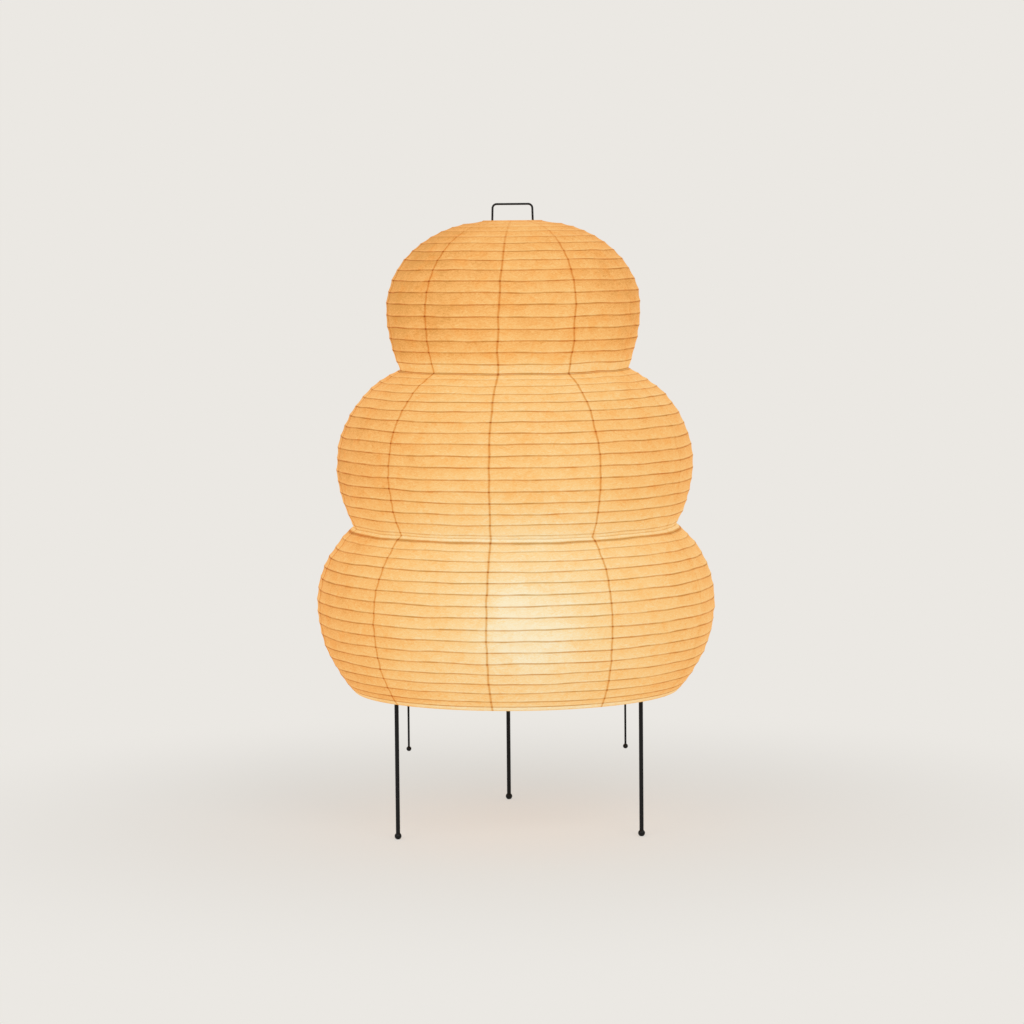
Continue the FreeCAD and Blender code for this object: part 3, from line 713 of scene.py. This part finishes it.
# Nothing on a shade built by hand is quite true: a slow noise moves hoops and paper alike, less and less
# towards the two wire rings
waver = {
    "size": 0.07,      # metres from one swell to the next
    "flatness": 3,     # from hoop to hoop it is a third of that
    "reach": 0.0040,
    "lowEnd": squash["fixedEnd"],
    "highEnd": lobes[0]["above"][1],
    "calmEnd": 0.035,  # over this height the rings hold the paper true
}
waverTree, add, given = newNodeTree(
    "handMadeWaver", Float=["size", "reach", "lowEnd", "highEnd", "calmEnd"], Material=["finish"])
place = add("GeometryNodeInputPosition")
height = add("ShaderNodeSeparateXYZ", {0: place}).outputs["Z"]
loose = given["reach"]
for end, operation in (("lowEnd", "ADD"), ("highEnd", "SUBTRACT")):
    calm = add("ShaderNodeMath", {0: given[end], 1: given["calmEnd"]}, operation=operation)
    free = add("ShaderNodeMapRange", {"Value": height, "From Min": given[end], "From Max": calm})
    loose = add("ShaderNodeMath", {0: loose, 1: free}, operation="MULTIPLY")
noiseScale = add("ShaderNodeMath", {0: 1.0, 1: given["size"]}, operation="DIVIDE")
stacked = add("ShaderNodeVectorMath", {0: place, 1: (1, 1, waver["flatness"])}, operation="MULTIPLY")
swell = add("ShaderNodeTexNoise", {"Vector": stacked, "Scale": noiseScale, "Detail": 1.0})
swell = add("ShaderNodeVectorMath", {0: swell.outputs["Color"], 1: (0.5, 0.5, 0.5)}, operation="SUBTRACT")
swell = add("ShaderNodeVectorMath", {0: swell, "Scale": loose}, operation="SCALE")
moved = add("GeometryNodeSetPosition", {"Geometry": given["Geometry"], "Offset": swell})
endNodeTree(add, moved, given["finish"])


def handShade(piece, slotName, node):
    # what every piece of the shade gets: the waver and its body
    useTree(piece, waverTree, {**waver, "finish": finishes[slotName]})
    applyModifiers(piece)
    hand(piece, "stand", slotName, node)
    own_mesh(piece)


for number in range(strips["count"]):
    name = "washiStrip%02d" % (number + 1)
    nextSeam = (number + 1) % strips["count"]
    piece = newObject(name, outlineMesh(name, seamShifts[number], seamShifts[nextSeam]))
    useTree(piece, washiTree, {
        **strips, "paper": finishes["washi_paper"], "stripAngle": 2 * pi / strips["count"],
        "seamAzimuth": radians(strips["firstSeam"] + 360 / strips["count"] * number),
        "lapDark": strips["faintSeams"].get(nextSeam, 1.0)})
    wall = piece.modifiers.new("paperThickness", "SOLIDIFY")
    wall.thickness = strips["thickness"]
    wall.offset = -1
    handShade(piece, "washi_paper", "washi_strip_%02d" % (number + 1))
print("washi strips made:", strips["count"], "of", len(piece.data.polygons), "faces")


# Hoops and wire rings: a section carried round a circle at each given radius and height

ringTree, add, given = newNodeTree(
    "hoopRings", Int=["sides", "cornerSides"], Float=["width", "height"], Material=["finish"])
spot = add("ShaderNodeSeparateXYZ", {0: add("GeometryNodeInputPosition")}).outputs
points = add("GeometryNodeMeshToPoints", {0: given["Geometry"]})
points = add("GeometryNodeStoreNamedAttribute", {
    "Geometry": points, "Name": "ringRadius", "Value": spot["X"]})
onAxis = add("ShaderNodeCombineXYZ", {2: spot["Z"]})
points = add("GeometryNodeSetPosition", {"Geometry": points, "Position": onAxis})
circle = add("GeometryNodeCurvePrimitiveCircle", {"Resolution": given["sides"], "Radius": 1.0})
size = add("GeometryNodeInputNamedAttribute", {"Name": "ringRadius"})
size = add("ShaderNodeCombineXYZ", {0: size, 1: size, 2: 1.0})
rings = add("GeometryNodeInstanceOnPoints", {"Points": points, "Instance": circle, "Scale": size})
rings = add("GeometryNodeRealizeInstances", {"Geometry": rings})
section = add("GeometryNodeCurvePrimitiveCircle", {"Resolution": given["cornerSides"], "Radius": 0.5})
stretch = add("ShaderNodeCombineXYZ", {0: given["width"], 1: given["height"], 2: 1.0})
section = add("GeometryNodeTransform", {"Geometry": section, "Scale": stretch})
solid = add("GeometryNodeCurveToMesh", {"Curve": rings, "Profile Curve": section, "Fill Caps": False})
solid = add("GeometryNodeSetShadeSmooth", {"Geometry": solid})
endNodeTree(add, solid, given["finish"])


def ringPiece(name, places, slotName, **section):
    piece = newObject(name, meshFrom(name, [(place[0], 0, place[1]) for place in places]))
    useTree(piece, ringTree, {**hoops, "finish": finishes[slotName], **section})
    return piece


for (name, node), places in hoopPlaces.items():
    handShade(ringPiece(name, places, "bamboo", cornerSides=8), "bamboo", node)
for name, ring in wireRings.items():
    piece = ringPiece(name, [ring["centre"]], "black_steel", width=hoops["wire"], height=hoops["wire"],
                      cornerSides=12)
    applyModifiers(piece)
    hand(piece, ring["body"], "black_steel", ring["node"])
print("hoops and rings made")


# Rods and wires: straight runs between corners, each corner rounded

rodTree, add, given = newNodeTree(
    "bentRod", Int=["bendSteps", "sides"], Float=["bendRadius", "diameter"], Material=["finish"])
line = add("GeometryNodeMeshToCurve", {0: given["Geometry"]})
line = add("GeometryNodeFilletCurve", {
    "Curve": line, "Count": given["bendSteps"], "Radius": given["bendRadius"]}, mode="POLY")
half = add("ShaderNodeMath", {0: given["diameter"], 1: 0.5}, operation="MULTIPLY")
section = add("GeometryNodeCurvePrimitiveCircle", {"Resolution": given["sides"], "Radius": half})
solid = add("GeometryNodeCurveToMesh", {"Curve": line, "Profile Curve": section, "Fill Caps": True})
endNodeTree(add, solid, given["finish"])


def rodPiece(name, node, body, runs, **sizes):
    # every run is a list of corners, and all the runs make one mesh
    points, edges = [], []
    for run in runs:
        first = len(points)
        points += [tuple(corner) for corner in run]
        edges += [(first + number, first + number + 1) for number in range(len(run) - 1)]
    piece = newObject(name, meshFrom(name, points, edges))
    useTree(piece, rodTree, {
        "bendRadius": 0.0, "bendSteps": 10, "finish": finishes["black_steel"], **sizes})
    applyModifiers(piece)
    smoothMesh(piece.data)
    hand(piece, body, "black_steel", node)


legs = {
    "places": {"legFrontLeft": ("leg_front_left", -56), "legFrontRight": ("leg_front_right", 56),
               "legRear": ("leg_rear", 182.3)},
    "circle": 0.209,
    "rod": 0.006,
    "bendRadius": 0.012,
    "armHeight": 0.216,
    "armInner": 0.016,
    "footBall": 0.010,
    "footFlat": 0.004,
    "pegWire": 0.0025,
    "pegHeight": 0.20385,
    "pegRoot": 0.001,  # how deep a peg starts in the rod
    "pegEnd": 0.2327,
}
up = Vector((0, 0, 1))
footCentre = sqrt(legs["footBall"] ** 2 - legs["footFlat"] ** 2) / 2
outwardsOfLegs = [direction(azimuth) for node, azimuth in legs["places"].values()]
for (name, (node, azimuth)), outwards in zip(legs["places"].items(), outwardsOfLegs):
    corners = [outwards * legs["circle"] + up * footCentre,
               outwards * legs["circle"] + up * legs["armHeight"],
               outwards * legs["armInner"] + up * legs["armHeight"]]
    rodPiece(name, node, "stand", [corners], bendRadius=legs["bendRadius"], diameter=legs["rod"], sides=24)
pegStart = legs["circle"] + legs["rod"] / 2 - legs["pegRoot"]
pegRuns = [[outwards * radius + up * legs["pegHeight"] for radius in (pegStart, legs["pegEnd"])]
           for outwards in outwardsOfLegs]
rodPiece("rimPegs", "rim_pegs", "stand", pegRuns, diameter=legs["pegWire"], sides=14)

stretcher = {
    "wire": 0.003,
    "halfSpread": 0.1575,
    "tipCentre": 0.11165,
    "shoulderFoot": 0.736,
    "shoulderTop": 0.864,
    "loopFootHalf": 0.0293,
    "loopTopHalf": 0.0284,
    "loopTop": 0.8985,
    "bendRadius": 0.006,
    "tipBall": 0.0073,
    "carrierHeight": 0.8698,
    "carrierHalf": 0.0443,
}
right = [Vector((stretcher[across], 0, stretcher[height])) for across, height in (
    ("halfSpread", "tipCentre"), ("halfSpread", "shoulderFoot"), ("loopFootHalf", "shoulderTop"),
    ("loopTopHalf", "loopTop"))]
left = [Vector((-corner.x, 0, corner.z)) for corner in right[::-1]]
rodPiece("stretcherWire", "stretcher_wire", "stretcher", [right + left], bendRadius=stretcher["bendRadius"],
         diameter=stretcher["wire"], sides=16)
carrierEnds = [Vector((side * stretcher["carrierHalf"], stretcher["wire"], stretcher["carrierHeight"]))
               for side in (-1, 1)]
rodPiece("ringCarrier", "ring_carrier", "stretcher", [carrierEnds], diameter=stretcher["wire"], sides=16)
print("rods and wires made")


# Turned pieces: a profile of radii and heights carried round an upright axis

def turnedPiece(name, node, profile, sides, body, slotName, centres=((0, 0, 0),), closed=False):
    # the profile runs from the lowest point on the axis round the outside to the highest one, or it is a
    # closed one that goes up on its outside
    points, faces = [], []
    for centre in centres:
        rings = []
        for radius, height in profile:
            corners = sides if radius > 1e-7 else 1  # a single point on the axis
            rings.append(list(range(len(points), len(points) + corners)))
            for corner in range(corners):
                angle = 2 * pi * corner / sides
                points.append((centre[0] + radius * cos(angle), centre[1] + radius * sin(angle),
                               centre[2] + height))
        for low, high in zip(rings, rings[1:] + (rings[:1] if closed else [])):
            for side in range(sides):
                after = (side + 1) % sides
                face = [low[side % len(low)], low[after % len(low)], high[after % len(high)],
                        high[side % len(high)]]
                faces.append(list(dict.fromkeys(face)))
    piece = newObject(name, meshFrom(name, points, faces=faces))
    smoothMesh(piece.data)
    piece.data.materials.append(finishes[slotName])
    hand(piece, body, slotName, node)


def arc(centre, radius, start, end, steps):
    # angles in degrees, from straight down
    turns = [radians(start + (end - start) * step / steps) for step in range(steps + 1)]
    return [(centre[0] + radius * sin(turn), centre[1] - radius * cos(turn)) for turn in turns]


def ballProfile(ball, rod, flat, steps=12):
    start = degrees(asin(flat / ball))
    end = 180 - degrees(asin(rod / ball))
    body = arc((0, 0), ball / 2, start, end, steps)
    return ([(0, body[0][1])] if flat else []) + body + [(0, body[-1][1])]


feet = [outwards * legs["circle"] + up * footCentre for outwards in outwardsOfLegs]
turnedPiece("ballFeet", "ball_feet", ballProfile(legs["footBall"], legs["rod"], legs["footFlat"]), 28,
            "stand", "black_steel", feet)
tips = [(side * stretcher["halfSpread"], 0, stretcher["tipCentre"]) for side in (-1, 1)]
turnedPiece("ballTips", "ball_tips", ballProfile(stretcher["tipBall"], stretcher["wire"], 0), 24,
            "stretcher", "black_steel", tips)

holder = {
    "foot": 0.225,
    "profile": [(0.0, 0.0), (0.0125, 0.0), (0.0132, 0.0006), (0.0188, 0.0066), (0.0192, 0.0075),
                (0.0196, 0.0188), (0.0192, 0.0192), (0.0192, 0.0200), (0.0199, 0.0204), (0.0200, 0.0210),
                (0.0200, 0.0300), (0.0196, 0.0304), (0.0196, 0.0310), (0.0200, 0.0314), (0.0200, 0.0505),
                (0.0196, 0.0516), (0.0188, 0.0520), (0.0150, 0.0520), (0.0142, 0.0514), (0.0140, 0.0505),
                (0.0140, 0.0262), (0.0, 0.0260)],  # up the outside and down into the socket
}
holderProfile = [(radius, height + holder["foot"]) for radius, height in holder["profile"]]
turnedPiece("lampholderBody", "lampholder", holderProfile, 64, "stand", "black_plastic")


def ridges(radius, depth, pitch, foot, top, stepsPerRidge):
    # the wavy outside of a screw thread
    steps = round((top - foot) / pitch * stepsPerRidge)
    line = []
    for step in range(steps + 1):
        height = foot + (top - foot) * step / steps
        wave = 0.5 - 0.5 * cos(2 * pi * (height - foot) / pitch)
        line.append((radius - depth * wave, height))
    return line


bulb = {
    "capFoot": 0.2512,
    "contact": [(0.0, 0.0), (0.0050, 0.0), (0.0060, 0.0012)],  # under the thread
    "threadFoot": 0.2537,
    "capTop": 0.278,
    "capRadius": 0.01325,
    "threadDepth": 0.0007,
    "threadPitch": 0.0036,
    "glassFoot": 0.2782,
    "centre": 0.326,
    "radius": 0.030,
    "neckRadius": 0.0130,
    "neckFlare": 1.6,
    "sweep": 135,
}
capProfile = [(radius, bulb["capFoot"] + height) for radius, height in bulb["contact"]]
capProfile += ridges(bulb["capRadius"], bulb["threadDepth"], bulb["threadPitch"], bulb["threadFoot"],
                     bulb["capTop"], 8)
capProfile.append((0, bulb["capTop"]))
turnedPiece("bulbCap", "bulb_cap", capProfile, 48, "stand", "bulb_cap_metal")

glassArc = arc((0, bulb["centre"]), bulb["radius"], 180 - bulb["sweep"], 180, 24)
neckEnd = glassArc[0]
glassProfile = [(0, bulb["glassFoot"])]
for share in (0, 0.25, 0.5, 0.75):
    radius = bulb["neckRadius"] + (neckEnd[0] - bulb["neckRadius"]) * share ** bulb["neckFlare"]
    glassProfile.append((radius, bulb["capTop"] + (neckEnd[1] - bulb["capTop"]) * share))
turnedPiece("bulbGlass", "bulb_glass", glassProfile + glassArc, 48, "stand", "bulb_glass")

nipple = {
    "radius": 0.005,
    "bore": 0.0035,
    "foot": 0.211,
    "top": 0.237,
    "threadDepth": 0.0005,
    "threadPitch": 0.001,
}
nippleProfile = [(nipple["bore"], nipple["foot"])]
nippleProfile += ridges(nipple["radius"], nipple["threadDepth"], nipple["threadPitch"], nipple["foot"],
                        nipple["top"], 4)
nippleProfile.append((nipple["bore"], nipple["top"]))
turnedPiece("threadedNipple", "threaded_nipple", nippleProfile, 32, "stand", "zinc_steel", closed=True)
print("feet, tips, lampholder, nipple and bulb made")


# Weld beads: short runs of small overlapping drops where rods, plates and wires meet

welds = {
    "bead": 0.0011,         # half of what a drop measures
    "smallBead": 0.0008,
    "tinyBead": 0.0006,
    "step": 0.0015,
    "armStart": 0.018,      # where a leg's arm lies on the hub plate
    "armSide": 0.0026,
    "armHeight": 0.2182,
    "armDrops": 8,
    "pegDrops": 9,
    "barStart": 0.014,      # where the crossbar lies on the hub plate
    "barSide": 0.010,
    "barHeight": 0.222,
    "barDrops": 6,
    "sleeveHeight": 0.225,  # round a guide sleeve, on the crossbar
    "sleeveRadius": 0.004,
    "sleeveDrops": 20,
    "wireRadius": 0.0013,   # where two wires cross
    "wireDrops": 6,
}
weldTree, add, given = newNodeTree("weldBeads", Material=["finish"])
points = add("GeometryNodeMeshToPoints", {0: given["Geometry"]})
drop = add("GeometryNodeMeshUVSphere", {"Segments": 10, "Rings": 6, "Radius": 1.0})
size = add("GeometryNodeInputNamedAttribute", {"Name": "beadSize"})
drops = add("GeometryNodeInstanceOnPoints", {
    "Points": points, "Instance": drop.outputs["Mesh"], "Scale": size})
drops = add("GeometryNodeRealizeInstances", {"Geometry": drops})
drops = add("GeometryNodeSetShadeSmooth", {"Geometry": drops})
endNodeTree(add, drops, given["finish"])


def beadPiece(name, beads, body):
    piece = newObject(name, meshFrom(name, [tuple(place) for place, size in beads]))
    attribute = piece.data.attributes.new("beadSize", "FLOAT", "POINT")
    attribute.data.foreach_set("value", [size for place, size in beads])
    useTree(piece, weldTree, {"finish": finishes["black_steel"]})
    applyModifiers(piece)
    hand(piece, body, "black_steel")


def beadRing(centre, across, upwards, radius, size, drops):
    turns = [2 * pi * step / drops for step in range(drops)]
    return [(centre + (across * cos(turn) + upwards * sin(turn)) * radius, size) for turn in turns]


toRight, toBack = Vector((1, 0, 0)), Vector((0, 1, 0))
standBeads = []
for outwards in outwardsOfLegs:
    across = Vector((outwards.y, -outwards.x, 0))
    for side in (-1, 1):
        start = across * side * welds["armSide"] + up * welds["armHeight"]
        standBeads += [(outwards * (welds["armStart"] + welds["step"] * number) + start, welds["bead"])
                       for number in range(welds["armDrops"])]
    pegFoot = outwards * (legs["circle"] + legs["rod"] / 2) + up * legs["pegHeight"]
    standBeads += beadRing(pegFoot, across, up, legs["pegWire"] / 2, welds["tinyBead"], welds["pegDrops"])
for side in (-1, 1):
    for end in (-1, 1):
        standBeads += [
            (Vector((end * (welds["barStart"] + welds["step"] * number), side * welds["barSide"],
                     welds["barHeight"])), welds["bead"]) for number in range(welds["barDrops"])]
    sleeveFoot = Vector((side * stretcher["halfSpread"], 0, welds["sleeveHeight"]))
    standBeads += beadRing(sleeveFoot, toRight, toBack, welds["sleeveRadius"], welds["smallBead"],
                           welds["sleeveDrops"])
beadPiece("standWelds", standBeads, "stand")

stretcherBeads = []
ringRadius, ringHeight = wireRings["topRing"]["centre"]
for side in (-1, 1):
    crossing = Vector((side * stretcher["loopFootHalf"], stretcher["wire"] / 2, stretcher["carrierHeight"]))
    touch = Vector((side * ringRadius, stretcher["wire"], ringHeight - stretcher["wire"] / 2))
    for centre, upwards in ((crossing, up), (touch, toBack)):
        stretcherBeads += beadRing(centre, toRight, upwards, welds["wireRadius"], welds["smallBead"],
                                   welds["wireDrops"])
beadPiece("stretcherWelds", stretcherBeads, "stretcher")
print("weld beads set:", len(standBeads) + len(stretcherBeads))


# CAD nodes that are shown as they are get their finish

for name, slotName in (("hub_plate", "black_steel"), ("crossbar", "black_steel"),
                       ("guide_sleeves", "black_steel"), ("lock_nut", "zinc_steel")):
    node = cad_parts[name]
    node.data.materials.clear()
    node.data.materials.append(finishes[slotName])
